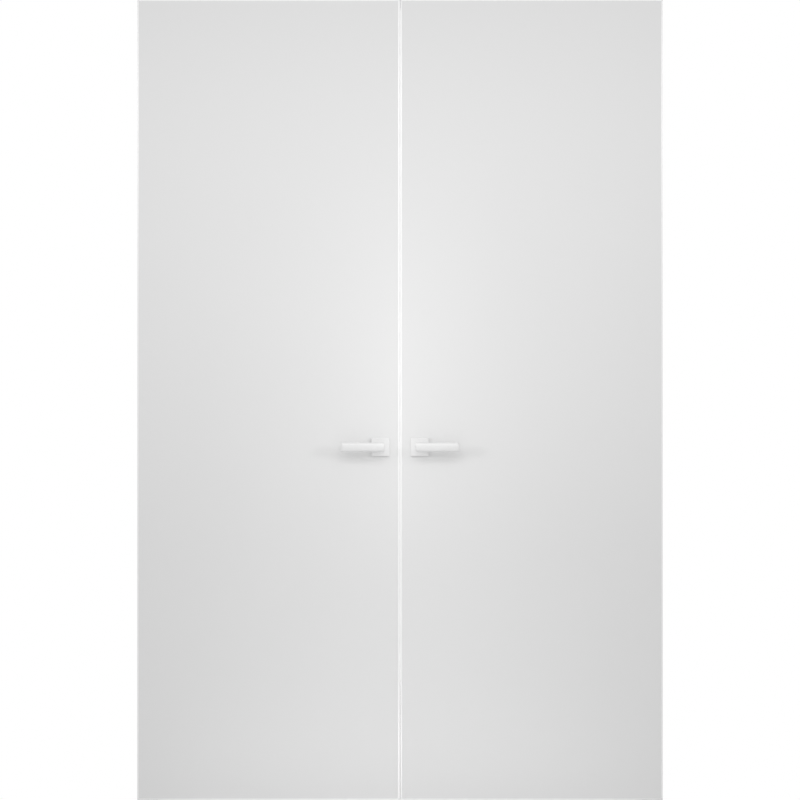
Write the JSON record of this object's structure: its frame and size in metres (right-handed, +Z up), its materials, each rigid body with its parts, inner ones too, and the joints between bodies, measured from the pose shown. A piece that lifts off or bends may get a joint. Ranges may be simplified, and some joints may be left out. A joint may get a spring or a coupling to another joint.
{
  "type": "flush double interior door",
  "caption": "Pair of smooth flush leaves with slim edging and square-rose lever handles, hung on pivots in a hidden frame, with a magnetic lock and flush bolts.",
  "frame": {"origin": "on the floor under the sill plate, on the line where the leaves meet, halfway through their thickness", "axes": "+Z up, +X to the right seen from the front, -Y towards the viewer, the side the leaves open to"},
  "size_m": [1.51, 0.175, 2.349],
  "materials": {
    "face_lacquer": "smooth satin lacquer on fibreboard",
    "edging": "pale satin anodised",
    "frame_profile": "pale powder coat",
    "timber": "planed softwood",
    "core_board": "bored chipboard",
    "handle_lacquer": "satin white",
    "nylon": "moulded nylon",
    "seal_rubber": "matt grey",
    "seal_white": "matt white",
    "magnet": "nickel plated",
    "satin_steel": "satin",
    "zinc_steel": "zinc plated"
  },
  "bodies": {
    "frame": {"head_jamb": "frame_profile", "jamb_left": "frame_profile", "jamb_right": "frame_profile", "sill_plate": "frame_profile", "corner_cleats": "zinc_steel", "frame_screws": "zinc_steel", "head_stop_bar": "frame_profile", "stop_seals": "seal_rubber", "floor_pivots": "zinc_steel", "head_pivot_bushes": "nylon", "bolt_strikes": "zinc_steel"},
    "leaf_left": {"front_skin_left": "face_lacquer", "back_skin_left": "face_lacquer", "pivot_stile_left": "timber", "meeting_stile_left": "timber", "rails_left": "timber", "core_left": "core_board", "pivot_edge_left": "edging", "meeting_edge_left": "edging", "end_edges_left": "edging", "lower_pivot_box_left": "zinc_steel", "upper_pivot_box_left": "zinc_steel", "front_rose_left": "handle_lacquer", "back_rose_left": "handle_lacquer", "rose_springs_left": "zinc_steel", "leaf_screws_left": "zinc_steel", "strike_plate": "satin_steel", "strike_box": "nylon", "strike_magnet": "magnet", "flush_bolt_bodies": "satin_steel", "meeting_seals": "seal_white"},
    "leaf_right": {"front_skin_right": "face_lacquer", "back_skin_right": "face_lacquer", "pivot_stile_right": "timber", "meeting_stile_right": "timber", "rails_right": "timber", "core_right": "core_board", "pivot_edge_right": "edging", "meeting_edge_right": "edging", "end_edges_right": "edging", "lower_pivot_box_right": "zinc_steel", "upper_pivot_box_right": "zinc_steel", "front_rose_right": "handle_lacquer", "back_rose_right": "handle_lacquer", "rose_springs_right": "zinc_steel", "leaf_screws_right": "zinc_steel", "lock_case": "zinc_steel", "lock_cover": "zinc_steel", "lock_faceplate": "satin_steel", "bolt_spring": "zinc_steel"},
    "lever_left": {"front_lever_left": "handle_lacquer", "back_lever_left": "handle_lacquer", "spindle_left": "zinc_steel"},
    "lever_right": {"front_lever_right": "handle_lacquer", "back_lever_right": "handle_lacquer", "spindle_right": "zinc_steel", "lock_follower": "zinc_steel"},
    "latch_bolt": {"magnet_bolt": "satin_steel"},
    "upper_bolt": {"upper_flush_bolt": "satin_steel"},
    "lower_bolt": {"lower_flush_bolt": "satin_steel"}
  },
  "joints": [
    {"name": "leaf_left_swing", "type": "hinge", "parent": "frame", "child": "leaf_left", "pos_m": [-0.733, 0, 0], "axis": [0, 0, -1], "range_deg": [0, 95]},
    {"name": "leaf_right_swing", "type": "hinge", "parent": "frame", "child": "leaf_right", "pos_m": [0.733, 0, 0], "axis": [0, 0, 1], "range_deg": [0, 95]},
    {"name": "lever_left_turn", "type": "hinge", "parent": "leaf_left", "child": "lever_left", "pos_m": [-0.0565, 0, 1.024], "axis": [0, -1, 0], "range_deg": [0, 45], "stiffness_Nm_per_rad": 1.2, "springref_deg": -34.38},
    {"name": "lever_right_turn", "type": "hinge", "parent": "leaf_right", "child": "lever_right", "pos_m": [0.0565, 0, 1.024], "axis": [0, 1, 0], "range_deg": [0, 45], "stiffness_Nm_per_rad": 1.2, "springref_deg": -34.38},
    {"name": "latch_bolt_slide", "type": "slide", "parent": "leaf_right", "child": "latch_bolt", "axis": [1, 0, 0], "range_m": [-0.009, 0], "stiffness_N_per_m": 60, "springref_m": 0.01, "deforming": ["bolt_spring"]},
    {"name": "upper_bolt_slide", "type": "slide", "parent": "leaf_left", "child": "upper_bolt", "axis": [0, 0, -1], "range_m": [-0.015, 0]},
    {"name": "lower_bolt_slide", "type": "slide", "parent": "leaf_left", "child": "lower_bolt", "axis": [0, 0, 1], "range_m": [-0.009, 0]}
  ]
}
